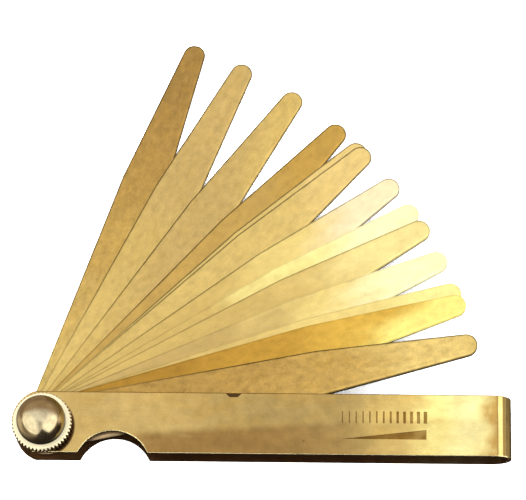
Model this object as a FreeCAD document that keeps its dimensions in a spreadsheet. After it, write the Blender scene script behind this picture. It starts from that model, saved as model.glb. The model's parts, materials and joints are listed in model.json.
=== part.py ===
import FreeCAD, Part
import math
import os
import Sketcher

# Feeler gauge: thirteen brass leaves on one stud, folded between the cheeks of a U-shaped
# brass strip and clamped by a knurled dome nut.
# Frame (mm): the origin is where the pivot axis meets the flat back of the holder,
# +X runs along the holder towards its bend, +Z points out of the front cheek.

# The leaves from the back cheek to the front cheek: thickness, angle above the holder at rest.
LEAVES = (
    (0.05, 71.04),
    (0.10, 63.84),
    (0.15, 55.66),
    (0.20, 47.92),
    (0.25, 43.94),
    (0.30, 43.0),
    (0.40, 36.95),
    (0.50, 32.31),
    (0.60, 29.45),
    (0.70, 24.32),
    (0.80, 19.35),
    (0.90, 17.48),
    (1.00, 11.63),
)

DIMENSIONS = {
    # holder: one strip folded back on itself, its centreline a little above the pivot
    "plate_thickness": 1.0,
    "holder_width": 13.36,
    "holder_length": 100.3,
    "holder_end_radius": 7.05,
    "holder_end_offset": 0.3,
    "pivot_offset": 0.66,
    "edge_rounding": 0.25,
    "stack_gap": 0.02,
    # half-round thumb notch through both cheeks
    "notch_distance": 15.1,
    "notch_depth": 4.8,
    "notch_radius": 8.22,
    # shallow dent in the front cheek's upper edge
    "nick_distance": 40.75,
    "nick_mouth": 3.9,
    "nick_floor": 1.7,
    "nick_reach": 1.0,
    "nick_depth": 0.45,
    # stamped mark on the front cheek: thirteen bars above a long wedge
    "stamp_depth": 0.18,
    "stamp_distance": 64.0,
    "stamp_base": 0.9,
    "bar_height": 2.6,
    "bar_pitch": 1.45,
    "thinnest_bar": 0.15,
    "bar_growth": 0.6,
    "wedge_base": -2.6,
    "wedge_length": 18.0,
    "wedge_height": 2.1,
    # leaf outline
    "leaf_reach": 95.0,
    "leaf_butt_offset": 0.4,
    "leaf_butt_radius": 5.4,
    "leaf_shoulder_distance": 60.4,
    "leaf_shoulder_half_width": 4.97,
    "leaf_tip_radius": 2.46,
    "leaf_clearance": 0.05,
    # stud, riveted flush into the back cheek
    "stud_radius": 2.5,
    "stud_head_radius": 3.3,
    "stud_head_depth": 0.8,
    "stud_length": 14.1,
    "stud_end_chamfer": 0.4,
    "stud_interference": 0.01,
    "cheek_clearance": 0.1,
    # washer between the front cheek and the nut
    "washer_radius": 5.2,
    "washer_thickness": 0.4,
    # dome nut with a knurled flange
    "nut_flange_radius": 6.45,
    "nut_flange_height": 2.46,
    "nut_collar_height": 1.2,
    "nut_front_chamfer": 0.35,
    "nut_back_chamfer": 0.25,
    "nut_dome_radius": 5.2,
    "nut_bore_depth": 6.2,
    "nut_clearance": 0.05,
    "knurl_teeth": 48,
    "knurl_depth": 0.42,
    "knurl_land": 0.14,
}

H_AXIS = -1
V_AXIS = -2
START = 1
END = 2
CENTRE = 3
ROUND_TOLERANCE = 1e-6


class Size:
    """A length that keeps its number and the spreadsheet formula that it follows."""

    def __init__(self, number, formula):
        self.number = number
        self.formula = formula

    def __add__(self, other):
        other = as_size(other)
        return Size(self.number + other.number, f"({self.formula} + {other.formula})")

    def __sub__(self, other):
        other = as_size(other)
        return Size(self.number - other.number, f"({self.formula} - {other.formula})")

    def __mul__(self, other):
        other = as_size(other)
        return Size(self.number * other.number, f"({self.formula} * {other.formula})")

    def __truediv__(self, other):
        other = as_size(other)
        return Size(self.number / other.number, f"({self.formula} / {other.formula})")

    def __neg__(self):
        return Size(-self.number, f"(0 - {self.formula})")


def as_size(value):
    """A plain number as a Size."""
    return value if isinstance(value, Size) else Size(value, str(value))


def leaf_name(thickness):
    """The node name of a leaf, such as leaf_0_05mm."""
    return f"leaf_{thickness:.2f}mm".replace(".", "_")


def fill_sheet(doc):
    """Write every driving dimension to the sheet and return them as Sizes by name."""
    values = dict(DIMENSIONS)
    for thickness, angle in LEAVES:
        values[leaf_name(thickness) + "_thickness"] = thickness
        values[leaf_name(thickness) + "_angle"] = angle
    sheet = doc.addObject("Spreadsheet::Sheet", "Dimensions")
    sizes = {}
    for row, (name, number) in enumerate(values.items(), start=1):
        sheet.set(f"A{row}", name)
        sheet.set(f"B{row}", str(number))
        sheet.setAlias(f"B{row}", name)
        sizes[name] = Size(number, f"Dimensions.{name}")
    doc.recompute()
    return sizes


def bind(item, prop, size):
    """Make a property follow a size of the sheet."""
    item.setExpression(prop, as_size(size).formula)


def new_body(doc, name):
    body = doc.addObject("PartDesign::Body", name)
    body.Label = name
    return body


def new_sketch(body, name, plane_role, height=None):
    """A sketch on one of the body's own origin planes, lifted along its normal by height."""
    plane = next(p for p in body.Origin.OriginFeatures if p.Role == plane_role)
    sketch = body.newObject("Sketcher::SketchObject", name)
    sketch.AttachmentSupport = [(plane, "")]
    sketch.MapMode = "FlatFace"
    if height is not None:
        bind(sketch, "AttachmentOffset.Base.z", height)
    return sketch


def dimension(sketch, kind, references, size):
    """Add one dimension to a sketch and bind it to the sheet."""
    index = sketch.addConstraint(Sketcher.Constraint(kind, *references, size.number))
    bind(sketch, f"Constraints[{index}]", size)


def hold_point(sketch, item, point, x=None, y=None):
    """Hold an end or centre of a sketch line or arc at x and y from the sketch's origin."""
    for kind, zero_axis, size in (("DistanceX", V_AXIS, x), ("DistanceY", H_AXIS, y)):
        if size is None:
            continue
        if as_size(size).number == 0:
            sketch.addConstraint(Sketcher.Constraint("PointOnObject", item, point, zero_axis))
        else:
            dimension(sketch, kind, (H_AXIS, START, item, point), size)


def vector(x, y):
    return FreeCAD.Vector(as_size(x).number, as_size(y).number, 0)


def arc_between(start, end, centre, counter_clockwise):
    """The arc from start to end about a centre, always drawn counter-clockwise as FreeCAD does."""
    first, last = (start, end) if counter_clockwise else (end, start)
    spokes = (first - centre, last - centre)
    angles = [math.atan2(spoke.y, spoke.x) for spoke in spokes]
    circle = Part.Circle(centre, FreeCAD.Vector(0, 0, 1), spokes[0].Length)
    return Part.ArcOfCircle(circle, *angles)


def closed_outline(sketch, corners):
    """Draw a closed outline. A corner is (x, y), or (x, y, arc centre, counter-clockwise) where
    the edge that leaves it is an arc."""
    spots = [vector(corner[0], corner[1]) for corner in corners]
    ends = []
    for index, corner in enumerate(corners):
        start = spots[index]
        end = spots[(index + 1) % len(spots)]
        if len(corner) == 2:
            item = sketch.addGeometry(Part.LineSegment(start, end))
            ends.append((item, START, END))
        else:
            centre, counter_clockwise = corner[2:]
            item = sketch.addGeometry(arc_between(start, end, vector(*centre), counter_clockwise))
            ends.append((item, START, END) if counter_clockwise else (item, END, START))
    for index, (item, first, last) in enumerate(ends):
        next_item, next_first, _ = ends[(index + 1) % len(ends)]
        sketch.addConstraint(Sketcher.Constraint("Coincident", item, last, next_item, next_first))
        hold_point(sketch, item, first, *corners[index][:2])
        if len(corners[index]) > 2:
            chord = spots[(index + 1) % len(spots)] - spots[index]
            centre_x, centre_y = corners[index][2]
            if abs(chord.y) >= abs(chord.x):
                hold_point(sketch, item, CENTRE, x=centre_x)
            else:
                hold_point(sketch, item, CENTRE, y=centre_y)


def circle(sketch, radius, x=0, y=0):
    centre = vector(x, y)
    item = sketch.addGeometry(Part.Circle(centre, FreeCAD.Vector(0, 0, 1), radius.number))
    hold_point(sketch, item, CENTRE, x, y)
    dimension(sketch, "Radius", (item,), radius)


def pad(body, sketch, name, length, symmetric=False):
    feature = body.newObject("PartDesign::Pad", name)
    feature.Profile = sketch
    feature.Midplane = symmetric
    bind(feature, "Length", length)
    return feature


def turned(body, sketch, kind, name):
    """A full Revolution or Groove about the vertical axis of its sketch."""
    feature = body.newObject("PartDesign::" + kind, name)
    feature.Profile = sketch
    feature.ReferenceAxis = (sketch, ["V_Axis"])
    feature.Angle = 360
    return feature


def cut(body, sketch, name, depth=None, upwards=False):
    """A Pocket: depth deep, or through everything. It goes down from its sketch, or upwards."""
    before = body.Shape.Volume
    feature = body.newObject("PartDesign::Pocket", name)
    feature.Profile = sketch
    feature.Reversed = upwards
    if depth is None:
        feature.Type = "ThroughAll"
    else:
        bind(feature, "Length", depth)
    body.Document.recompute()
    if body.Shape.Volume >= before:
        raise RuntimeError(f"{name} removes no metal")
    return feature


def leaf_position(sizes, count):
    """Height of a leaf's back face when count leaves lie behind it."""
    height = sizes["plate_thickness"] + sizes["stack_gap"]
    for thickness, _ in LEAVES[:count]:
        height = height + sizes[leaf_name(thickness) + "_thickness"] + sizes["stack_gap"]
    return height


def holder_height(sizes):
    return leaf_position(sizes, len(LEAVES)) + sizes["plate_thickness"]


def folded_strip(body, sizes):
    """The U of the folded strip, drawn from the side and padded across the holder's width."""
    height = holder_height(sizes)
    plate = sizes["plate_thickness"]
    bend_centre = (sizes["holder_length"] - height / 2, height / 2)
    open_end = -sizes["holder_end_radius"]
    sketch = new_sketch(body, "StripProfile", "XZ_Plane", -sizes["pivot_offset"])
    closed_outline(sketch, (
        (open_end, 0),
        (bend_centre[0], 0, bend_centre, True),
        (bend_centre[0], height),
        (open_end, height),
        (open_end, height - plate),
        (bend_centre[0], height - plate, bend_centre, False),
        (bend_centre[0], plate),
        (open_end, plate),
    ))
    pad(body, sketch, "FoldedStrip", sizes["holder_width"], symmetric=True)
    body.Document.recompute()


def round_pivot_end(body, sizes):
    """Trim both cheeks to an arc centred on the strip, beside the pivot axis."""
    radius = sizes["holder_end_radius"]
    centre = (sizes["holder_end_offset"], sizes["pivot_offset"])
    top = centre[1] + radius
    bottom = centre[1] - radius
    outside = -(radius + sizes["plate_thickness"])
    sketch = new_sketch(body, "PivotEndTrim", "XY_Plane")
    closed_outline(sketch, (
        (centre[0], top, centre, True),
        (centre[0], bottom),
        (outside, bottom),
        (outside, top),
    ))
    cut(body, sketch, "PivotEnd", upwards=True)


def thumb_notch(body, sizes):
    """Half-round notch in the lower long edge of both cheeks, where a thumb pushes the leaves."""
    radius = sizes["notch_radius"]
    sketch = new_sketch(body, "NotchCircle", "XY_Plane")
    lower_edge = sizes["pivot_offset"] - sizes["holder_width"] / 2
    centre_y = lower_edge + sizes["notch_depth"] - radius
    circle(sketch, radius, sizes["notch_distance"], centre_y)
    cut(body, sketch, "ThumbNotch", upwards=True)


def round_outer_edges(body, sizes):
    """Take the sharp corner off every edge of the strip's outer skin."""
    notched = body.Tip
    height = holder_height(sizes).number
    width = sizes["holder_width"].number
    bend_start = sizes["holder_length"].number - height / 2

    def on_outer_skin(edge):
        middle = edge.valueAt((edge.FirstParameter + edge.LastParameter) / 2)
        if middle.x > bend_start + ROUND_TOLERANCE:
            reach = math.hypot(middle.x - bend_start, middle.z - height / 2)
            return abs(reach - height / 2) < ROUND_TOLERANCE
        return min(abs(middle.z), abs(middle.z - height)) < ROUND_TOLERANCE

    def runs_across(edge):
        ends = [vertex.Point for vertex in edge.Vertexes]
        return abs(ends[0].y - ends[1].y) > width - ROUND_TOLERANCE

    names = [
        f"Edge{number}"
        for number, edge in enumerate(notched.Shape.Edges, start=1)
        if on_outer_skin(edge) and not runs_across(edge)
    ]
    rounding = body.newObject("PartDesign::Fillet", "EdgeRounding")
    rounding.Base = (notched, names)
    bind(rounding, "Radius", sizes["edge_rounding"])
    body.Tip = rounding
    body.Document.recompute()


def stud_holes(body, sizes):
    """Countersunk tight hole in the back cheek and a clearance hole in the front cheek."""
    tight = sizes["stud_radius"] - sizes["stud_interference"]
    clear = sizes["stud_radius"] + sizes["cheek_clearance"]
    height = holder_height(sizes)
    sketch = new_sketch(body, "StudHoleProfile", "XZ_Plane")
    closed_outline(sketch, (
        (0, 0),
        (sizes["stud_head_radius"] - sizes["stud_interference"], 0),
        (tight, sizes["stud_head_depth"]),
        (tight, sizes["plate_thickness"] * 2),
        (clear, sizes["plate_thickness"] * 2),
        (clear, height),
        (0, height),
    ))
    before = body.Shape.Volume
    turned(body, sketch, "Groove", "StudHoles")
    body.Document.recompute()
    if body.Shape.Volume >= before:
        raise RuntimeError("the stud holes remove no metal")


def edge_nick(body, sizes):
    """Shallow dent in the face of the front cheek, at its upper edge."""
    edge = sizes["pivot_offset"] + sizes["holder_width"] / 2
    half_mouth = sizes["nick_mouth"] / 2
    half_floor = sizes["nick_floor"] / 2
    floor = edge - sizes["nick_reach"]
    sketch = new_sketch(body, "NickOutline", "XY_Plane", holder_height(sizes))
    closed_outline(sketch, (
        (sizes["nick_distance"] - half_mouth, edge),
        (sizes["nick_distance"] - half_floor, floor),
        (sizes["nick_distance"] + half_floor, floor),
        (sizes["nick_distance"] + half_mouth, edge),
    ))
    cut(body, sketch, "EdgeNick", sizes["nick_depth"])


def stamped_mark(body, sizes):
    """Sunk mark that says what the gauge is: a bar for each leaf, above a wedge."""
    left = sizes["stamp_distance"]
    base = sizes["stamp_base"]
    sketch = new_sketch(body, "StampOutline", "XY_Plane", holder_height(sizes))
    for count, (thickness, _) in enumerate(LEAVES):
        bar_left = left + sizes["bar_pitch"] * count
        growth = sizes["bar_growth"] * sizes[leaf_name(thickness) + "_thickness"]
        bar_right = bar_left + sizes["thinnest_bar"] + growth
        closed_outline(sketch, (
            (bar_left, base),
            (bar_right, base),
            (bar_right, base + sizes["bar_height"]),
            (bar_left, base + sizes["bar_height"]),
        ))
    closed_outline(sketch, (
        (left, sizes["wedge_base"]),
        (left + sizes["wedge_length"], sizes["wedge_base"]),
        (left + sizes["wedge_length"], sizes["wedge_base"] + sizes["wedge_height"]),
    ))
    cut(body, sketch, "StampedMark", sizes["stamp_depth"])


def make_holder(doc, sizes):
    body = new_body(doc, "holder")
    folded_strip(body, sizes)
    round_pivot_end(body, sizes)
    thumb_notch(body, sizes)
    round_outer_edges(body, sizes)
    stud_holes(body, sizes)
    edge_nick(body, sizes)
    stamped_mark(body, sizes)
    return body


def leaf_outline(sketch, sizes):
    """Round butt about the pivot, slow taper to the shoulders, fast taper to a round tip."""
    butt_x = sizes["leaf_butt_offset"]
    butt_radius = sizes["leaf_butt_radius"]
    shoulder_x = sizes["leaf_shoulder_distance"]
    shoulder_y = sizes["leaf_shoulder_half_width"]
    tip_radius = sizes["leaf_tip_radius"]
    tip_x = sizes["leaf_reach"] - tip_radius
    upper_butt = vector(butt_x, butt_radius)
    lower_butt = vector(butt_x, -butt_radius)
    upper_tip = vector(tip_x, tip_radius)
    lower_tip = vector(tip_x, -tip_radius)
    upper_shoulder = vector(shoulder_x, shoulder_y)
    lower_shoulder = vector(shoulder_x, -shoulder_y)
    butt = sketch.addGeometry(arc_between(upper_butt, lower_butt, vector(butt_x, 0), True))
    tip = sketch.addGeometry(arc_between(lower_tip, upper_tip, vector(tip_x, 0), True))
    upper_flank = sketch.addGeometry(Part.LineSegment(upper_butt, upper_shoulder))
    upper_taper = sketch.addGeometry(Part.LineSegment(upper_shoulder, upper_tip))
    lower_flank = sketch.addGeometry(Part.LineSegment(lower_butt, lower_shoulder))
    lower_taper = sketch.addGeometry(Part.LineSegment(lower_shoulder, lower_tip))
    for arc, x, radius in ((butt, butt_x, butt_radius), (tip, tip_x, tip_radius)):
        hold_point(sketch, arc, CENTRE, x, 0)
        dimension(sketch, "Radius", (arc,), radius)
    for flank, taper, side in ((upper_flank, upper_taper, 1), (lower_flank, lower_taper, -1)):
        sketch.addConstraint(Sketcher.Constraint("Coincident", flank, END, taper, START))
        hold_point(sketch, flank, END, shoulder_x, shoulder_y * side)
    for arc, end, line, line_end in (
        (butt, START, upper_flank, START),
        (butt, END, lower_flank, START),
        (tip, START, lower_taper, END),
        (tip, END, upper_taper, END),
    ):
        sketch.addConstraint(Sketcher.Constraint("Tangent", arc, end, line, line_end))


def make_leaf(doc, sizes, count):
    """One leaf, lying flat on the ones behind it and swung out to its angle."""
    name = leaf_name(LEAVES[count][0])
    body = new_body(doc, name)
    sketch = new_sketch(body, name + "_outline", "XY_Plane")
    leaf_outline(sketch, sizes)
    circle(sketch, sizes["stud_radius"] + sizes["leaf_clearance"])
    pad(body, sketch, name + "_sheet", sizes[name + "_thickness"])
    angle = sizes[name + "_angle"]
    body.Placement = FreeCAD.Placement(
        FreeCAD.Vector(),
        FreeCAD.Rotation(FreeCAD.Vector(0, 0, 1), angle.number),
    )
    bind(body, "Placement.Base.z", leaf_position(sizes, count))
    bind(body, "Placement.Rotation.Angle", angle)
    return body


def make_stud(doc, sizes):
    """Pivot stud: countersunk head riveted flush at the back, long shank for the nut."""
    body = new_body(doc, "clamp_stud")
    radius = sizes["stud_radius"]
    length = sizes["stud_length"]
    chamfer = sizes["stud_end_chamfer"]
    sketch = new_sketch(body, "StudProfile", "XZ_Plane")
    closed_outline(sketch, (
        (0, 0),
        (sizes["stud_head_radius"], 0),
        (radius, sizes["stud_head_depth"]),
        (radius, length - chamfer),
        (radius - chamfer, length),
        (0, length),
    ))
    turned(body, sketch, "Revolution", "StudTurning")
    return body


def make_washer(doc, sizes):
    body = new_body(doc, "washer")
    sketch = new_sketch(body, "WasherRing", "XY_Plane")
    circle(sketch, sizes["washer_radius"])
    circle(sketch, sizes["stud_radius"] + sizes["cheek_clearance"])
    pad(body, sketch, "WasherSheet", sizes["washer_thickness"])
    bind(body, "Placement.Base.z", holder_height(sizes) + sizes["stack_gap"])
    return body


def nut_turning(body, sizes):
    """Flange, short collar under a half-round dome, and blind bore in one turned profile."""
    bore = sizes["stud_radius"] + sizes["nut_clearance"]
    rim = sizes["nut_flange_radius"]
    face = sizes["nut_flange_height"]
    back = sizes["nut_back_chamfer"]
    front = sizes["nut_front_chamfer"]
    dome = sizes["nut_dome_radius"]
    dome_base = face + sizes["nut_collar_height"]
    sketch = new_sketch(body, "NutProfile", "XZ_Plane")
    closed_outline(sketch, (
        (bore, 0),
        (rim - back, 0),
        (rim, back),
        (rim, face - front),
        (rim - front, face),
        (dome, face),
        (dome, dome_base, (0, dome_base), True),
        (0, dome_base + dome),
        (0, sizes["nut_bore_depth"]),
        (bore, sizes["nut_bore_depth"]),
    ))
    turned(body, sketch, "Revolution", "NutTurning")
    body.Document.recompute()


def nut_knurl(body, sizes):
    """Straight knurl: one V groove along the rim, repeated around the flange."""
    rim = sizes["nut_flange_radius"]
    half_pitch = rim * math.pi / sizes["knurl_teeth"]
    root = rim - sizes["knurl_depth"]
    # twice as deep, the V is twice as wide as the mouth it leaves in the rim
    outside = rim + sizes["knurl_depth"]
    half_width = half_pitch * 2 - sizes["knurl_land"]
    sketch = new_sketch(body, "KnurlGroove", "XY_Plane")
    closed_outline(sketch, (
        (root, 0),
        (outside, -half_width),
        (outside, half_width),
    ))
    groove = cut(body, sketch, "KnurlCut", sizes["nut_flange_height"], upwards=True)
    axis = next(a for a in body.Origin.OriginFeatures if a.Role == "Z_Axis")
    ring = body.newObject("PartDesign::PolarPattern", "Knurl")
    ring.Originals = [groove]
    ring.Axis = (axis, [""])
    ring.Angle = 360
    bind(ring, "Occurrences", sizes["knurl_teeth"])
    body.Tip = ring


def make_nut(doc, sizes):
    body = new_body(doc, "dome_nut")
    nut_turning(body, sizes)
    nut_knurl(body, sizes)
    base = holder_height(sizes) + sizes["stack_gap"] * 2 + sizes["washer_thickness"]
    bind(body, "Placement.Base.z", base)
    return body


def check(doc, parts):
    """Stop unless every object is up to date and every part is one valid solid."""
    for item in doc.Objects:
        if "Invalid" in item.State or "Error" in item.State:
            raise RuntimeError(f"{item.Name} failed: {item.State}")
    for part in parts:
        shape = part.Shape
        if shape.isNull() or not shape.isValid() or len(shape.Solids) != 1:
            raise RuntimeError(f"{part.Label} is not one valid solid")


def main():
    doc = FreeCAD.newDocument("FeelerGauge")
    sizes = fill_sheet(doc)
    parts = [make_holder(doc, sizes), make_stud(doc, sizes)]
    parts += [make_leaf(doc, sizes, count) for count in range(len(LEAVES))]
    parts += [make_washer(doc, sizes), make_nut(doc, sizes)]
    doc.recompute()
    check(doc, parts)
    os.makedirs("parts", exist_ok=True)
    for part in parts:
        part.Shape.exportStep(os.path.join("parts", part.Label + ".step"))
        print(part.Label, round(part.Shape.Volume, 3), part.Shape.BoundBox)


main()
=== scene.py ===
import json
import math

import bmesh
import bpy
from mathutils import Matrix, Vector


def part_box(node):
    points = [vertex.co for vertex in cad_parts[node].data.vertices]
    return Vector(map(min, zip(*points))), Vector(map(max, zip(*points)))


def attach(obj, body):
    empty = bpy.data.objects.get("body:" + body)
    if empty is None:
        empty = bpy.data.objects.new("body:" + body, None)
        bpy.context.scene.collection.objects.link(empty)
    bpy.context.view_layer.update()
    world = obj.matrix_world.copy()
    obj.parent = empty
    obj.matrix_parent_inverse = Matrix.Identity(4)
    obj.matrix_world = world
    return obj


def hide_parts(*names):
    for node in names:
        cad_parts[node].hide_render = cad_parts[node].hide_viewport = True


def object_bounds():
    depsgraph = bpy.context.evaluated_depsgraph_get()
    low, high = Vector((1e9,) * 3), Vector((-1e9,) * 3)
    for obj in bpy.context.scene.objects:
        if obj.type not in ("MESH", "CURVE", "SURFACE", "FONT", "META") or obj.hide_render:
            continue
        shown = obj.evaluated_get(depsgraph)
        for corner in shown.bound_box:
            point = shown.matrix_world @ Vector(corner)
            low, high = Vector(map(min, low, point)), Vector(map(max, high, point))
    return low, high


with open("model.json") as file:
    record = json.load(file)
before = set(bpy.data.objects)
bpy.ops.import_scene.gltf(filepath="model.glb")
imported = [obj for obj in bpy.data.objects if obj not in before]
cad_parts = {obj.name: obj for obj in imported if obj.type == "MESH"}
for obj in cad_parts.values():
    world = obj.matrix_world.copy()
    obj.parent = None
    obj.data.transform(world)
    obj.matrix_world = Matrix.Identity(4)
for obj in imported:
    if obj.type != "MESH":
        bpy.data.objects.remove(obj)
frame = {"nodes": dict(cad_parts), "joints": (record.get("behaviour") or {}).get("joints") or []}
cad_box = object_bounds()

# Objects and the floor's shader are in metres. The brass shaders and the sizes below are in
# millimetres, except where a size is multiplied by MM.
MM = 0.001

# Camera: it looks down on the front cheek, from beyond the holder's lower edge.
CAMERA_PLACE = Vector((63.8, -141.9, 581.9)) * MM
CAMERA_LOOK = Vector((-0.0287, 0.3013, -0.9531))
CAMERA_UP = Vector((-0.0075, 0.9534, 0.3017))
CAMERA_LENS = 189.18
SENSOR_WIDTH = 36.0

# Light and floor. The floor is a square in metres, just under the gauge.
WHITE_LIGHT = 4.5
FLOOR_GLOW = 0.3
FLOOR_HALF_SIDE = 3.0
FLOOR_GAP = 0.02 * MM

# Leaf outline, in the leaf's own frame: along it from the pivot to the tip, and across it.
BUTT_HALF_WIDTH = 5.4
SHOULDER_DISTANCE = 60.4
SHOULDER_HALF_WIDTH = 4.97
TIP_RADIUS = 2.46
LEAF_REACH = 95.0
EDGE_LINE = 0.42

# Thumb notch in the holder.
NOTCH_CENTRE = Vector((15.1, -9.44, 0.0)) * MM
NOTCH_RADIUS = 8.22

# Dome nut, from its foot to the top of its flange.
FLANGE_HEIGHT = 2.46

# Stud: countersunk head at the back, plain shank, then the thread. The groove's half width is
# a share of the pitch.
STUD_SIDES = 64
SHANK_RADIUS = 2.5
HEAD_RADIUS = 3.3
HEAD_DEPTH = 0.8
PLAIN_HEIGHTS = [0.0, HEAD_DEPTH, 2.0, 4.0, 6.0, 8.0, 8.3]
THREAD_START = 8.4
THREAD_PITCH = 0.8
THREAD_DEPTH = 0.45
THREAD_STEP = 0.05
GROOVE_HALF_WIDTH = 0.42
STUD_CHAMFER = 0.4

# Colours of brass, linear. Old brass is brown, freshly rubbed brass a pale yellow. Below, some browns also
# serve as painted shade and some pale yellows as painted highlight.
DEEPEST_BROWN = (0.055, 0.032, 0.014)
NUT_SHADOW_BROWN = (0.080, 0.032, 0.012)
WALNUT = (0.130, 0.052, 0.022)
RUSSET = (0.200, 0.115, 0.035)
DIRT = (0.300, 0.190, 0.070)
STREAK_BROWN = (0.330, 0.195, 0.060)
BEND_OLIVE = (0.400, 0.340, 0.150)
UMBER = (0.370, 0.225, 0.065)
RUST = (0.450, 0.245, 0.040)
OLD_GOLD = (0.470, 0.290, 0.080)
OLIVE = (0.460, 0.322, 0.116)
BEND_BAND_BROWN = (0.530, 0.320, 0.085)
BRONZE = (0.570, 0.370, 0.105)
OCHRE = (0.540, 0.335, 0.078)
ORANGE = (0.580, 0.330, 0.052)
AMBER = (0.740, 0.460, 0.078)
KHAKI = (0.590, 0.418, 0.150)
STRAW = (0.660, 0.475, 0.155)
HONEY = (0.720, 0.530, 0.180)
ROSE = (0.540, 0.395, 0.235)
WHEAT = (0.800, 0.595, 0.225)
BUTTER = (0.870, 0.680, 0.240)
CANARY = (0.980, 0.840, 0.240)
LEMON = (0.980, 0.860, 0.330)
PRIMROSE = (0.990, 0.900, 0.420)
CORN = (0.900, 0.750, 0.310)
IVORY = (0.960, 0.810, 0.510)
CREAM = (1.000, 0.960, 0.550)

# Pairs of tones that a cloudy noise blends, and the nut's flange, on top (partly a painted highlight) and
# on its side (painted shade).
DOME_TONES = ((0.58, 0.49, 0.31), (0.70, 0.61, 0.40))
WASHER_TONES = ((0.42, 0.28, 0.10), (0.62, 0.46, 0.20))
STUD_TONES = ((0.55, 0.40, 0.17), (0.72, 0.56, 0.28))
FLANGE_TOP = (0.94, 0.86, 0.60)
FLANGE_SIDE_SHADE = (0.20, 0.13, 0.055)

# The room and the bench that only the brass sees, mirrored in it.
WHITE = (1.0, 1.0, 1.0)
CEILING = (0.92, 0.90, 0.87)
SOFT_BOX = (1.66, 1.60, 1.45)
FAR_WALL = (0.40, 0.28, 0.165)
PERSON = (0.05, 0.035, 0.02)
FLOOR_WHITE = (0.87, 0.87, 0.86)
BENCH_BEHIND = (0.068, 0.046, 0.027)
BENCH_IN_FRONT = (0.009, 0.006, 0.004)
BENCH_BESIDE = (0.17, 0.14, 0.10)
BENCH_BEYOND = (0.13, 0.11, 0.07)
PERSON_ON_BENCH = (0.007, 0.005, 0.004)

# Each leaf from its root to its tip: its tones, how far they lean across the leaf, how strong
# its mottling is, and how much of its edge is ground bright. The tones are partly the leaf's own
# colour and partly painted highlight, in the pale tips and the lighter lower edges.
LEAF_LOOKS = {
    "leaf_0_05mm": ((STRAW, BRONZE, OLD_GOLD, UMBER), 0.0, 1.5, 0.0),
    "leaf_0_10mm": ((HONEY, STRAW, KHAKI, KHAKI), 0.0, 1.0, 0.0),
    "leaf_0_15mm": ((STRAW, KHAKI, KHAKI, STRAW), -2.5, 1.0, 0.0),
    "leaf_0_20mm": ((BRONZE, BRONZE, BRONZE, OCHRE), 0.0, 0.8, 0.0),
    "leaf_0_25mm": ((STRAW, HONEY, HONEY, WHEAT), 0.0, 0.7, 0.0),
    "leaf_0_30mm": ((STRAW, HONEY, HONEY, WHEAT), 0.0, 0.8, 0.0),
    "leaf_0_40mm": ((STRAW, STRAW, BUTTER, IVORY), 0.0, 0.5, 0.2),
    "leaf_0_50mm": ((STRAW, STRAW, LEMON, CREAM), 0.0, 0.5, 1.0),
    "leaf_0_60mm": ((STRAW, STRAW, HONEY, CORN), 0.0, 0.5, 0.5),
    "leaf_0_70mm": ((KHAKI, KHAKI, BUTTER, CREAM), 0.0, 0.5, 1.0),
    "leaf_0_80mm": ((STRAW, HONEY, BUTTER, LEMON), 0.0, 0.5, 1.0),
    "leaf_0_90mm": ((RUST, ORANGE, AMBER, CANARY), -2.0, 0.9, 1.0),
    "leaf_1_00mm": ((OLD_GOLD, OLD_GOLD, BRONZE, HONEY), 0.0, 1.6, 0.0),
}
TONE_PLACES = (18.0, 44.0, 66.0, 84.0)


# ---------------------------------------------------------------- node helpers

def new_node(tree, kind, inputs=None, **settings):
    """A shader node. Each input is a number, a tuple or another node's socket."""
    made = tree.nodes.new("ShaderNode" + kind)
    for name, value in settings.items():
        setattr(made, name, value)
    for name, value in (inputs or {}).items():
        put_in(tree, made.inputs[name], value)
    return made


def put_in(tree, socket, value):
    if isinstance(value, bpy.types.NodeSocket):
        tree.links.new(value, socket)
    else:
        socket.default_value = value


def set_inputs(tree, shader, **inputs):
    for name, value in inputs.items():
        put_in(tree, shader.inputs[name.replace("_", " ").title()], value)


def maths(tree, operation, *values):
    return new_node(tree, "Math", dict(enumerate(values)), operation=operation).outputs[0]


def plus(tree, first, second):
    return maths(tree, "ADD", first, second)


def minus(tree, first, second):
    return maths(tree, "SUBTRACT", first, second)


def larger(tree, first, second):
    return maths(tree, "MAXIMUM", first, second)


def absolute(tree, value):
    return maths(tree, "ABSOLUTE", value)


def product(tree, *factors):
    result = factors[0]
    for factor in factors[1:]:
        result = maths(tree, "MULTIPLY", result, factor)
    return result


def vector_maths(tree, operation, *values):
    made = new_node(tree, "VectorMath", dict(enumerate(values)), operation=operation)
    return made.outputs["Vector"]


def parts_of(tree, vector):
    """The X, Y and Z of a vector."""
    split = new_node(tree, "SeparateXYZ", {"Vector": vector})
    return [split.outputs[index] for index in range(3)]


def radius_from_axis(tree, place):
    flat = vector_maths(tree, "MULTIPLY", place, (1.0, 1.0, 0.0))
    return new_node(tree, "VectorMath", {0: flat}, operation="LENGTH").outputs["Value"]


def ease(tree, value, start, end, low=0.0, high=1.0):
    """Smooth step of value from start to end, turned into low to high."""
    made = new_node(
        tree,
        "MapRange",
        {"Value": value, "From Min": start, "From Max": end, "To Min": low, "To Max": high},
        interpolation_type="SMOOTHSTEP",
    )
    return made.outputs["Result"]


def rgba(colour):
    return (*colour, 1.0)


def blend_colour(tree, share, first, second, mode="MIX"):
    made = new_node(tree, "Mix", data_type="RGBA", blend_type=mode)
    made.clamp_factor = True
    # the node's sockets for a factor and two colours
    for index, value in ((0, share), (6, first), (7, second)):
        put_in(tree, made.inputs[index], value)
    return made.outputs[2]


def scale_colour(tree, colour, amount):
    made = new_node(tree, "VectorMath", {0: colour, "Scale": amount}, operation="SCALE")
    return made.outputs["Vector"]


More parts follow.
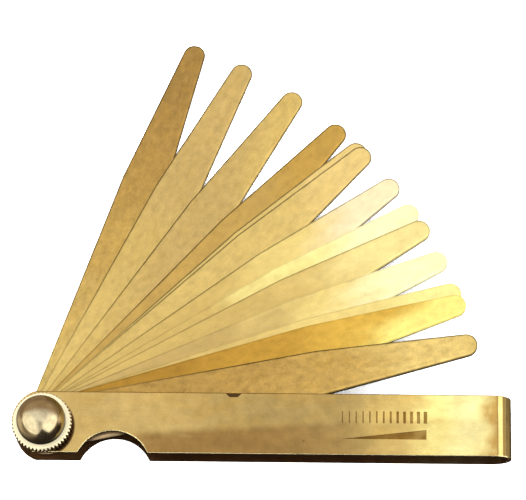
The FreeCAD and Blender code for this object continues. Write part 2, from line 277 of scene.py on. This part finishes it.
def colour_along(tree, place, stops):
    """Blend through (place, colour) stops."""
    start, end = stops[0][0], stops[-1][0]
    share = maths(tree, "DIVIDE", minus(tree, place, start), end - start)
    made = new_node(tree, "ValToRGB", {"Fac": share})
    ramp = made.color_ramp
    ramp.interpolation = "EASE"
    while len(ramp.elements) < len(stops):
        ramp.elements.new(1.0)
    for element, (stop, colour) in zip(ramp.elements, stops):
        element.position = (stop - start) / (end - start)
        element.color = rgba(colour)
    return made.outputs["Color"]


def noise(tree, place, grain, shift=0.0, detail=2.0):
    """Cloudy noise from 0 to 1. grain is the size of its blotches along each axis."""
    scaled = vector_maths(tree, "DIVIDE", place, grain)
    moved = vector_maths(tree, "ADD", scaled, (shift, shift * 0.7, shift * 1.3))
    made = new_node(tree, "TexNoise", {"Vector": moved, "Scale": 1.0, "Detail": detail})
    return made.outputs[0]


def ring_noise(tree, place, grain, shift):
    """Noise in fine rings round the pivot axis."""
    height = parts_of(tree, place)[2]
    ring_place = new_node(tree, "CombineXYZ", {"X": radius_from_axis(tree, place), "Y": height})
    return noise(tree, ring_place.outputs[0], (grain, grain, 1.0), shift)


def sway(tree, cloud, amount):
    """Turn a noise around 0.5 into a factor around 1."""
    return plus(tree, product(tree, minus(tree, cloud, 0.5), amount), 1.0)


def stray(tree, value, cloud, amount):
    """Move a value both ways by a noise around 0.5."""
    return plus(tree, value, product(tree, minus(tree, cloud, 0.5), amount))


# ---------------------------------------------------------------- camera and light

def make_camera():
    data = bpy.data.cameras.new("camera")
    data.lens = CAMERA_LENS
    data.sensor_width = SENSOR_WIDTH
    camera = bpy.data.objects.new("camera", data)
    bpy.context.scene.collection.objects.link(camera)
    back = -CAMERA_LOOK.normalized()
    side = CAMERA_UP.cross(back).normalized()
    up = back.cross(side)
    turn = Matrix((side, up, back)).transposed()
    camera.matrix_world = Matrix.Translation(CAMERA_PLACE) @ turn.to_4x4()
    bpy.context.scene.camera = camera


def operator_shape(tree, sideways, forward, height):
    """Share of the dark shape of whoever stands in front: a cone that narrows upwards."""
    aside, tallest, taper = 0.21, 0.55, 0.80
    ratio = maths(tree, "DIVIDE", sideways, larger(tree, forward, 0.001))
    offset = absolute(tree, minus(tree, ratio, aside))
    half_width = product(tree, minus(tree, tallest, height), taper)
    return ease(tree, minus(tree, half_width, offset), -0.06, 0.08)


def mirrored_room(tree, direction):
    """What the brass mirrors above the bench."""
    x, y, z = parts_of(tree, direction)
    height = absolute(tree, z)
    forward = product(tree, y, -1.0)
    # ceiling, with brighter soft boxes to the left and the right
    reach = plus(tree, product(tree, absolute(tree, x), 0.8), product(tree, forward, 0.5))
    room = blend_colour(tree, ease(tree, reach, 0.22, 0.72), rgba(CEILING), rgba(SOFT_BOX))
    room = scale_colour(tree, room, sway(tree, noise(tree, direction, (0.28, 0.28, 0.28)), 0.9))
    # brown far wall, tallest straight ahead
    rise = minus(tree, y, product(tree, height, 0.45))
    room = blend_colour(tree, ease(tree, rise, -0.15, 0.50), room, rgba(FAR_WALL))
    # whoever holds the camera, and the arm that holds it overhead
    arm = ease(tree, absolute(tree, minus(tree, x, 0.08)), 0.06, 0.26, 0.42, 0.0)
    arm = product(tree, arm, ease(tree, forward, 0.28, 0.50))
    room = blend_colour(tree, arm, room, rgba(DEEPEST_BROWN))
    person = operator_shape(tree, x, forward, height)
    person = product(tree, person, ease(tree, forward, 0.3, 0.6))
    return blend_colour(tree, person, room, rgba(PERSON))


def make_world():
    """White light from all round. Mirror rays see a room instead."""
    world = bpy.data.worlds.new("studio")
    world.use_nodes = True
    bpy.context.scene.world = world
    tree = world.node_tree
    tree.nodes.clear()
    room = mirrored_room(tree, new_node(tree, "TexCoord").outputs["Generated"])
    seen = new_node(tree, "LightPath").outputs["Is Glossy Ray"]
    colour = blend_colour(tree, seen, rgba(WHITE), room)
    strength = ease(tree, seen, 0.0, 1.0, WHITE_LIGHT, 1.0)
    back = new_node(tree, "Background", {"Color": colour, "Strength": strength})
    out = new_node(tree, "OutputWorld")
    tree.links.new(back.outputs[0], out.inputs["Surface"])


def mirrored_bench(tree):
    """Dark bench, lighter beyond both ends of the gauge and far in front of it."""
    x, y, _ = parts_of(tree, new_node(tree, "NewGeometry").outputs["Position"])
    forward = product(tree, y, -1.0)
    low, high = cad_box
    past_ends = larger(tree, minus(tree, x, high.x), minus(tree, low.x, x))
    front = ease(tree, forward, -0.020, 0.005)
    bench = blend_colour(tree, front, rgba(BENCH_BEHIND), rgba(BENCH_IN_FRONT))
    beside = product(
        tree,
        ease(tree, past_ends, -0.002, 0.022),
        ease(tree, forward, -0.020, 0.0),
        ease(tree, forward, 0.005, 0.030, 1.0, 0.35),
    )
    bench = blend_colour(tree, beside, bench, rgba(BENCH_BESIDE))
    bench = blend_colour(tree, ease(tree, forward, 0.06, 0.25), bench, rgba(BENCH_BEYOND))
    person = operator_shape(tree, x, forward, 0.0)
    person = product(tree, person, ease(tree, forward, 0.0, 0.02))
    return blend_colour(tree, person, bench, rgba(PERSON_ON_BENCH))


def floor_material():
    """White to the camera, a bench to mirror rays, clear from below."""
    material = bpy.data.materials.new("floor")
    material.use_nodes = True
    tree = material.node_tree
    tree.nodes.clear()
    ray = new_node(tree, "LightPath")
    seen = ray.outputs["Is Glossy Ray"]
    colour = blend_colour(tree, seen, rgba(FLOOR_WHITE), mirrored_bench(tree))
    lit = new_node(tree, "BsdfDiffuse", {"Color": colour})
    # a glow that only the camera sees keeps the shadows faint
    strength = product(tree, ray.outputs["Is Camera Ray"], FLOOR_GLOW)
    glow = new_node(tree, "Emission", {"Strength": strength})
    surface = new_node(tree, "AddShader", {0: lit.outputs[0], 1: glow.outputs[0]})
    # from below, light passes through to the underside of the gauge
    passed = maths(tree, "GREATER_THAN", ray.outputs["Transparent Depth"], 0.5)
    backfacing = new_node(tree, "NewGeometry").outputs["Backfacing"]
    clear = larger(tree, backfacing, product(tree, seen, passed))
    glass = new_node(tree, "BsdfTransparent")
    mixed = new_node(tree, "MixShader", {0: clear, 1: surface.outputs[0], 2: glass.outputs[0]})
    out = new_node(tree, "OutputMaterial")
    tree.links.new(mixed.outputs[0], out.inputs["Surface"])
    return material


def make_floor():
    side = FLOOR_HALF_SIDE
    corners = [(x, y, -FLOOR_GAP) for x, y in ((-side, -side), (side, -side), (side, side), (-side, side))]
    mesh = bpy.data.meshes.new("floor")
    mesh.from_pydata(corners, [], [(0, 1, 2, 3)])
    mesh.materials.append(floor_material())
    floor = bpy.data.objects.new("floor", mesh)
    bpy.context.scene.collection.objects.link(floor)


# ---------------------------------------------------------------- metal helpers

def start_metal(name, turn=0.0):
    """A metal, its place in millimetres turned about the pivot, and its main shader."""
    material = bpy.data.materials.new(name)
    material.use_nodes = True
    tree = material.node_tree
    shader = tree.nodes["Principled BSDF"]
    shader.inputs["Metallic"].default_value = 1.0
    source = new_node(tree, "TexCoord").outputs["Object"]
    mapping = new_node(tree, "Mapping", {"Vector": source})
    mapping.inputs["Scale"].default_value = (1 / MM, 1 / MM, 1 / MM)
    mapping.inputs["Rotation"].default_value = (0.0, 0.0, -turn)
    return material, tree, shader, mapping.outputs["Vector"]


def dimmed_in_reflections(tree, colour, share):
    """Brass mirrors the dark side of its neighbours, so a colour is darker to reflected rays."""
    seen = new_node(tree, "LightPath").outputs["Is Glossy Ray"]
    return scale_colour(tree, colour, ease(tree, seen, 0.0, 1.0, 1.0, share))


def facing(tree):
    """How flat the surface lies, from 0 on an edge to 1, and how far it leans towards +Y."""
    _, towards_y, towards_z = parts_of(tree, new_node(tree, "TexCoord").outputs["Normal"])
    return ease(tree, absolute(tree, towards_z), 0.35, 0.85), towards_y


def specks(tree, place, spacing, size, share):
    """0 on small round pits, 1 elsewhere. Only a share of the cells holds one."""
    scaled = vector_maths(tree, "DIVIDE", place, (spacing, spacing, spacing * 4))
    cells = new_node(tree, "TexVoronoi", {"Vector": scaled, "Scale": 1.0})
    pit = ease(tree, cells.outputs["Distance"], size * 0.4, size)
    chosen = parts_of(tree, cells.outputs["Color"])[0]
    return larger(tree, pit, maths(tree, "GREATER_THAN", chosen, share))


def bumped(tree, height, depth):
    """Normal of a surface whose height runs over depth, in millimetres."""
    made = new_node(tree, "Bump", {"Height": height, "Distance": depth * MM, "Strength": 1.0})
    return made.outputs["Normal"]


def grain_direction(tree, turn):
    along = (math.cos(turn), math.sin(turn), 0.0)
    made = new_node(
        tree, "VectorTransform", {"Vector": along},
        vector_type="VECTOR", convert_from="OBJECT", convert_to="WORLD",
    )
    return made.outputs[0]


# ---------------------------------------------------------------- leaves

def leaf_edge_distance(tree, along, across):
    """Distance from the leaf's outline, in millimetres."""
    aside = absolute(tree, across)
    flank_slope = (BUTT_HALF_WIDTH - SHOULDER_HALF_WIDTH) / SHOULDER_DISTANCE
    flank_width = minus(tree, BUTT_HALF_WIDTH, product(tree, along, flank_slope))
    flank = minus(tree, flank_width, aside)
    tip = LEAF_REACH - TIP_RADIUS
    taper_slope = (SHOULDER_HALF_WIDTH - TIP_RADIUS) / (tip - SHOULDER_DISTANCE)
    past_shoulder = minus(tree, along, SHOULDER_DISTANCE)
    taper_width = minus(tree, SHOULDER_HALF_WIDTH, product(tree, past_shoulder, taper_slope))
    taper = minus(tree, taper_width, aside)
    past_tip = larger(tree, minus(tree, along, tip), 0.0)
    squares = plus(tree, product(tree, past_tip, past_tip), product(tree, across, across))
    end = minus(tree, TIP_RADIUS, maths(tree, "SQRT", squares))
    # only the tip's own circle bounds the leaf beyond the tip's centre
    end = plus(tree, end, ease(tree, past_tip, 0.0, 0.05, 9.0, 0.0))
    return maths(tree, "MINIMUM", maths(tree, "MINIMUM", flank, taper), end)


def leaf_outline(tree, along, across, blotch, ground):
    """Two factors: for the dark outline, painted shade, and for the burnished line beside the lower edge.
    """
    edge = stray(tree, leaf_edge_distance(tree, along, across), blotch, 0.12)
    # the outline is painted shade round and between the leaves, weaker near the pivot and on a ground edge
    outline = ease(tree, edge, 0.08, EDGE_LINE, 1.0, 0.0)
    outline = product(tree, outline, ease(tree, along, 10.0, 45.0, 0.34, 0.78 - 0.60 * ground))
    burnished = product(
        tree,
        ease(tree, edge, 0.30, 0.45),
        ease(tree, edge, 0.60, 0.85, 1.0, 0.0),
        ease(tree, across, -2.0, -1.0, 0.15, 0.0),
    )
    return minus(tree, 1.0, outline), plus(tree, 1.0, burnished)


def shaded_root(tree, colour, along, across):
    """The lower root, inside the holder, is painted pink: a painted reflection of the holder's inside, in
    its shade.
    """
    root_shade = product(
        tree,
        ease(tree, across, -3.6, -2.4, 0.85, 0.0),
        ease(tree, along, 24.0, 32.0, 1.0, 0.0),
    )
    colour = blend_colour(tree, root_shade, colour, rgba(ROSE))
    # and a dark line under the rim of the thumb notch: a painted shadow
    unturned = new_node(tree, "TexCoord").outputs["Object"]
    from_centre = vector_maths(tree, "SUBTRACT", unturned, NOTCH_CENTRE)
    radius = maths(tree, "DIVIDE", radius_from_axis(tree, from_centre), MM)
    from_rim = minus(tree, NOTCH_RADIUS, radius)
    dirt_and_shadow = product(
        tree,
        ease(tree, from_rim, 0.25, 0.75, 0.85, 0.0),
        ease(tree, from_rim, -0.4, 0.0),
    )
    return blend_colour(tree, product(tree, root_shade, dirt_and_shadow), colour, rgba(DEEPEST_BROWN))


def leaf_brass(name, turn, look):
    """Rolled brass sheet: toned from root to tip, partly as painted highlight, mottled, lengthwise grain,
    dark edge of painted shade.
    """
    tones, lean, mottling, ground = look
    material, tree, shader, place = start_metal(name, turn)
    along, across, _ = parts_of(tree, place)
    # the angle gives each leaf noise of its own
    shift = len(name) + 10 * turn
    cloud = noise(tree, place, (14.0, 7.0, 20.0), shift)
    blush = noise(tree, place, (3.2, 2.2, 9.0), shift + 5.0)
    blotch = noise(tree, place, (1.9, 1.3, 9.0), shift, 3.0)
    sand = noise(tree, place, (0.50, 0.45, 9.0), shift)
    grain = noise(tree, place, (9.0, 0.22, 9.0), shift, 3.0)
    toned = stray(tree, plus(tree, along, product(tree, across, lean)), cloud, 30.0)
    # the pale tip tones and their lean across the leaf are partly painted highlight
    colour = colour_along(tree, toned, list(zip(TONE_PLACES, tones)))
    flushed = product(tree, ease(tree, blush, 0.45, 0.75), 0.14 * mottling)
    colour = blend_colour(tree, flushed, colour, rgba(ORANGE))
    colour = shaded_root(tree, colour, along, across)
    outlined, burnished = leaf_outline(tree, along, across, blotch, ground)
    flat, _ = facing(tree)
    tone = product(
        tree,
        # brighter towards the tip: more of the painted highlight
        ease(tree, along, 60.0, 90.0, 0.87, 0.94),
        sway(tree, cloud, 0.20),
        sway(tree, blotch, 0.38 * mottling),
        sway(tree, sand, 0.24 * mottling),
        sway(tree, grain, 0.10),
        ease(tree, specks(tree, place, 5.0, 0.06, 0.2), 0.0, 1.0, 0.8, 1.0),
        outlined,
        burnished,
        # the cut edges are darker: painted shade
        ease(tree, flat, 0.0, 1.0, 0.22 + 0.10 * ground, 1.0),
    )
    colour = dimmed_in_reflections(tree, scale_colour(tree, colour, tone), 0.45)
    # a ground edge is matt and scatters light
    metal = ease(tree, flat, 0.0, 0.5, 1.0 - 0.9 * ground, 1.0)
    rough = plus(tree, ease(tree, blotch, 0.2, 0.8, 0.24, 0.38), product(tree, grain, 0.05))
    height = plus(tree, product(tree, grain, 0.5), product(tree, sand, 0.5))
    set_inputs(
        tree, shader, base_color=colour, metallic=metal, roughness=rough, anisotropic=0.4,
        tangent=grain_direction(tree, turn), normal=bumped(tree, height, 0.004 * mottling),
    )
    return material


# ---------------------------------------------------------------- holder

def banded_bend(tree, colour, along, toned, blotch, bend):
    """Bands across the strip, all painted reflections: orange-brown before the bend, russet and olive on
    its outermost part.
    """
    # an orange-brown band just before the bend: a painted reflection
    band = product(
        tree,
        ease(tree, toned, bend - 8.0, bend - 4.2),
        ease(tree, along, bend - 3.2, bend - 2.9, 1.0, 0.0),
        ease(tree, blotch, 0.30, 0.62, 0.55, 0.95),
    )
    colour = blend_colour(tree, band, colour, rgba(BEND_BAND_BROWN))
    # a dark line on the bend: a painted reflection
    line = product(
        tree,
        ease(tree, along, bend - 3.30, bend - 3.20),
        ease(tree, along, bend - 3.10, bend - 2.95, 1.0, 0.0),
    )
    colour = blend_colour(tree, product(tree, line, 0.8), colour, rgba(UMBER))
    # the outermost part of the bend turns russet, then olive: painted reflections
    first = ease(tree, along, bend - 2.15, bend - 1.95, 0.0, 0.9)
    colour = blend_colour(tree, first, colour, rgba(RUSSET))
    second = ease(tree, along, bend - 1.6, bend - 1.4, 0.0, 0.9)
    return blend_colour(tree, second, colour, rgba(BEND_OLIVE))


def streaked(tree, colour, along, across, toned, smear):
    """Brown streaks along the lower half, between the notch and the stamp."""
    leaning = minus(tree, across, product(tree, along, 0.06))
    streak = product(
        tree,
        ease(tree, leaning, -4.0, -2.0, 1.0, 0.0),
        ease(tree, toned, 14.0, 24.0),
        ease(tree, toned, 44.0, 78.0, 1.0, 0.22),
        ease(tree, smear, 0.20, 0.45, 0.58, 1.0),
    )
    return blend_colour(tree, streak, colour, rgba(STREAK_BROWN))


def dirt_and_shadows(tree, colour, place, face, straight, flat, blotch):
    """Dirt in whatever is sunk below the front face; painted shadow in the deep nick and round the nut."""
    height = parts_of(tree, place)[2]
    sunk = product(
        tree,
        ease(tree, height, face - 0.60, face - 0.50),
        ease(tree, height, face - 0.15, face - 0.04, 1.0, 0.0),
        straight,
        flat,
    )
    dirt_and_shadow = product(tree, sunk, ease(tree, blotch, 0.2, 0.7, 1.0, 0.75))
    # the deep nick is darkened further: painted shadow
    nick_shadow = product(tree, sunk, ease(tree, height, face - 0.40, face - 0.30, 0.8, 0.0))
    # and painted shadow of the nut, under it and beside it, offset towards +X and -Y
    beside = vector_maths(tree, "SUBTRACT", place, (0.15, -0.45, 0.0))
    nut_shadow = ease(tree, radius_from_axis(tree, beside), 6.55, 6.9, 0.95, 0.0)
    nut_shadow = product(tree, nut_shadow, ease(tree, height, face - 0.1, face - 0.02))
    colour = blend_colour(tree, dirt_and_shadow, colour, rgba(DIRT), "MULTIPLY")
    colour = blend_colour(tree, nick_shadow, colour, rgba(DEEPEST_BROWN))
    return blend_colour(tree, nut_shadow, colour, rgba(NUT_SHADOW_BROWN))


def inner_faces(tree, along, height, bend, face):
    """Share of the faces inside the U, by their distance from its middle line."""
    middle = face / 2
    past_bend = larger(tree, minus(tree, along, bend - middle), 0.0)
    aside = minus(tree, height, middle)
    squares = plus(tree, maths(tree, "POWER", past_bend, 2.0), maths(tree, "POWER", aside, 2.0))
    return ease(tree, maths(tree, "SQRT", squares), middle - 0.99, middle - 0.90, 0.9, 0.0)


def holder_brass():
    """Bright strip: a painted highlight near the bend, browner in the middle, brown streaks low down."""
    material, tree, shader, place = start_metal("holder_brass")
    along, across, height = parts_of(tree, place)
    low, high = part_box("holder")
    bend, face = high.x / MM, high.z / MM
    cloud = noise(tree, place, (13.0, 6.0, 20.0), 3.0)
    smear = noise(tree, place, (16.0, 2.4, 20.0), 8.0, 3.0)
    blotch = noise(tree, place, (2.2, 2.6, 9.0), 5.0, 3.0)
    blush = noise(tree, place, (6.0, 3.0, 9.0), 9.0)
    sand = noise(tree, place, (0.5, 0.4, 9.0), 2.0)
    grain = noise(tree, place, (30.0, 0.18, 9.0), 1.0, 3.0)
    toned = stray(tree, along, cloud, 9.0)
    # the pale stops towards the bend paint a highlight
    colour = colour_along(tree, toned, (
        (low.x / MM, KHAKI),
        (26.0, KHAKI),
        (42.0, OLIVE),
        (63.0, OLIVE),
        (77.0, HONEY),
        (84.0, LEMON),
        (90.0, PRIMROSE),
        (bend, LEMON),
    ))
    flushed = product(tree, ease(tree, blush, 0.42, 0.72), 0.25)
    colour = blend_colour(tree, flushed, colour, rgba(ORANGE))
    colour = banded_bend(tree, colour, along, toned, blotch, bend)
    colour = streaked(tree, colour, along, across, toned, smear)
    tone = product(
        tree,
        0.96,
        sway(tree, cloud, 0.18),
        sway(tree, smear, 0.24),
        sway(tree, blotch, ease(tree, along, 60.0, 85.0, 0.34, 0.14)),
        sway(tree, sand, 0.20),
        sway(tree, grain, 0.07),
        # brighter towards the bend: more of the painted highlight
        ease(tree, along, 66.0, 86.0, 1.0, 1.20),
        ease(tree, specks(tree, place, 6.0, 0.09, 0.35), 0.0, 1.0, 0.45, 1.0),
    )
    colour = scale_colour(tree, colour, tone)
    flat, leaning_back = facing(tree)
    straight = ease(tree, along, bend - 4.6, bend - 4.2, 1.0, 0.0)
    colour = dirt_and_shadows(tree, colour, place, face, straight, flat, blotch)
    # only the strip's cut edges are walls; the bend's outer skin stands upright too
    upright = ease(tree, absolute(tree, leaning_back), 0.2, 0.5)
    cut_edge = larger(tree, straight, upright)
    # rounded edges that face -Y turn CREAM: painted highlight
    edge_highlight = product(
        tree,
        ease(tree, flat, 0.05, 0.35),
        ease(tree, flat, 0.80, 0.98, 1.0, 0.0),
        ease(tree, leaning_back, -0.1, 0.1, 1.0, 0.0),
        cut_edge,
    )
    # the cut edges turn WALNUT: painted shade
    wall = product(tree, ease(tree, flat, 0.0, 0.25, 0.9, 0.0), cut_edge)
    # the inner faces of the U turn WALNUT too: painted shade
    inner = inner_faces(tree, along, height, bend, face)
    colour = blend_colour(tree, edge_highlight, colour, rgba(CREAM))
    colour = blend_colour(tree, wall, colour, rgba(WALNUT))
    colour = blend_colour(tree, inner, colour, rgba(WALNUT))
    colour = dimmed_in_reflections(tree, colour, 0.65)
    metal = product(
        tree,
        ease(tree, larger(tree, wall, inner), 0.0, 0.9, 1.0, 0.95),
        ease(tree, edge_highlight, 0.0, 1.0, 1.0, 0.80),
    )
    rough = ease(tree, blotch, 0.2, 0.8, 0.13, 0.24)
    bump = plus(tree, product(tree, grain, 0.3), product(tree, blotch, 0.7))
    set_inputs(
        tree, shader, base_color=colour, metallic=metal, roughness=rough, anisotropic=0.3,
        tangent=grain_direction(tree, 0.0), normal=bumped(tree, bump, 0.005),
    )
    return material


# ---------------------------------------------------------------- nut, washer and stud metals

def flange_colour(tree, place, radius, height, rim, top):
    """Pale on top, partly a painted highlight; brown on its side and dark in the grooves of the knurl:
    painted shade.
    """
    in_groove = ease(tree, radius, rim - 0.40, rim - 0.10, 1.0, 0.0)
    on_knurl = product(tree, ease(tree, height, top - 0.30, top - 0.04, 1.0, 0.0), in_groove)
    on_side = ease(tree, height, top - 0.75, top - 0.35, 1.0, 0.0)
    # painted shade on the flange's side and in the knurl's grooves
    flange = blend_colour(tree, on_side, rgba(FLANGE_TOP), rgba(FLANGE_SIDE_SHADE))
    flange = blend_colour(tree, on_knurl, flange, rgba(DEEPEST_BROWN))
    right = parts_of(tree, place)[0]
    return dimmed_in_reflections(tree, flange, ease(tree, right, 2.0, rim, 0.04, 0.45))


def nut_brass():
    """Polished grey-gold dome, pale turned flange partly as painted highlight, and painted shade in the
    knurl's grooves.
    """
    material, tree, shader, place = start_metal("nut_brass")
    low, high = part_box("dome_nut")
    rim = high.x / MM
    top = low.z / MM + FLANGE_HEIGHT
    radius = radius_from_axis(tree, place)
    height = parts_of(tree, place)[2]
    cloud = noise(tree, place, (2.6, 2.6, 2.6), 4.0, 3.0)
    sand = noise(tree, place, (0.35, 0.35, 0.35), 7.0)
    turning = ring_noise(tree, place, 0.10, 2.0)
    dome = blend_colour(tree, ease(tree, cloud, 0.3, 0.7), *map(rgba, DOME_TONES))
    # the steep foot of the dome is painted darker: a painted reflection of the dark side of the room
    dome = scale_colour(tree, dome, ease(tree, height, top + 0.9, top + 2.2, 0.18, 0.97))
    on_dome = ease(tree, height, top + 0.02, top + 0.10)
    flange = flange_colour(tree, place, radius, height, rim, top)
    colour = blend_colour(tree, on_dome, flange, dome)
    tone = product(tree, sway(tree, sand, 0.12), sway(tree, turning, 0.14), sway(tree, cloud, 0.15))
    colour = scale_colour(tree, colour, tone)
    rough = plus(tree, ease(tree, on_dome, 0.0, 1.0, 0.42, 0.11), product(tree, cloud, 0.08))
    bump = plus(tree, product(tree, turning, 0.3), product(tree, cloud, 0.7))
    set_inputs(tree, shader, base_color=colour, roughness=rough, normal=bumped(tree, bump, 0.006))
    return material


def turned_brass(name, tones, roughness):
    """Brass turned or stamped round the pivot axis, with fine rings."""
    material, tree, shader, place = start_metal(name)
    turning = ring_noise(tree, place, 0.12, 3.0)
    cloud = noise(tree, place, (1.6, 1.6, 1.6), 6.0, 3.0)
    colour = blend_colour(tree, ease(tree, cloud, 0.3, 0.7), *map(rgba, tones))
    colour = scale_colour(tree, colour, product(tree, sway(tree, turning, 0.3), sway(tree, cloud, 0.2)))
    rough = plus(tree, roughness, product(tree, cloud, 0.1))
    set_inputs(tree, shader, base_color=colour, roughness=rough, normal=bumped(tree, turning, 0.004))
    return material


# ---------------------------------------------------------------- threaded stud

def stud_radius(height, turn, top):
    """Radius of the stud in millimetres: countersunk head, plain shank, then the thread."""
    if height < HEAD_DEPTH:
        return HEAD_RADIUS + (SHANK_RADIUS - HEAD_RADIUS) * height / HEAD_DEPTH
    depth = THREAD_DEPTH * min(1.0, max(0.0, (height - THREAD_START) / THREAD_PITCH))
    phase = (height / THREAD_PITCH - turn / math.tau) % 1.0
    groove = max(0.0, 1.0 - abs(phase - 0.5) / GROOVE_HALF_WIDTH)
    chamfer = max(0.0, height - (top - STUD_CHAMFER))
    return min(SHANK_RADIUS - depth * groove, SHANK_RADIUS - chamfer)


def stud_ring(build, height, top):
    """The points of the stud's surface at one height."""
    ring = []
    for step in range(STUD_SIDES):
        turn = math.tau * step / STUD_SIDES
        radius = stud_radius(height, turn, top) * MM
        ring.append(build.verts.new((radius * math.cos(turn), radius * math.sin(turn), height * MM)))
    return ring


def make_stud(material):
    """The stud as a fine grid round its axis, closed at both ends."""
    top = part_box("clamp_stud")[1].z / MM
    steps = int((top - THREAD_START) / THREAD_STEP)
    threaded = [THREAD_START + THREAD_STEP * step for step in range(steps)]
    build = bmesh.new()
    rings = [stud_ring(build, height, top) for height in PLAIN_HEIGHTS + threaded + [top]]
    for lower, upper in zip(rings, rings[1:]):
        for step in range(STUD_SIDES):
            following = (step + 1) % STUD_SIDES
            face = build.faces.new((lower[step], lower[following], upper[following], upper[step]))
            face.smooth = True
    build.faces.new(reversed(rings[0]))
    build.faces.new(rings[-1])
    mesh = bpy.data.meshes.new("threaded_stud")
    build.to_mesh(mesh)
    build.free()
    mesh.materials.append(material)
    stud = bpy.data.objects.new("threaded_stud", mesh)
    bpy.context.scene.collection.objects.link(stud)
    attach(stud, "holder")
    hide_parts("clamp_stud")


# ---------------------------------------------------------------- put together

def assign(node, material):
    for slot in frame["nodes"][node].material_slots:
        slot.material = material


def leaf_turn(name):
    """The leaf's angle at rest: its swing ends where it lies folded along +X."""
    swing = next(joint for joint in frame["joints"] if joint["child"] == name)
    return math.radians(-swing["range_deg"][0])


for leaf, leaf_look in LEAF_LOOKS.items():
    assign(leaf, leaf_brass(leaf, leaf_turn(leaf), leaf_look))
assign("holder", holder_brass())
assign("dome_nut", nut_brass())
assign("washer", turned_brass("washer_brass", WASHER_TONES, 0.3))
make_stud(turned_brass("stud_brass", STUD_TONES, 0.22))

bpy.context.scene.view_settings.view_transform = "Standard"
make_camera()
make_world()
make_floor()
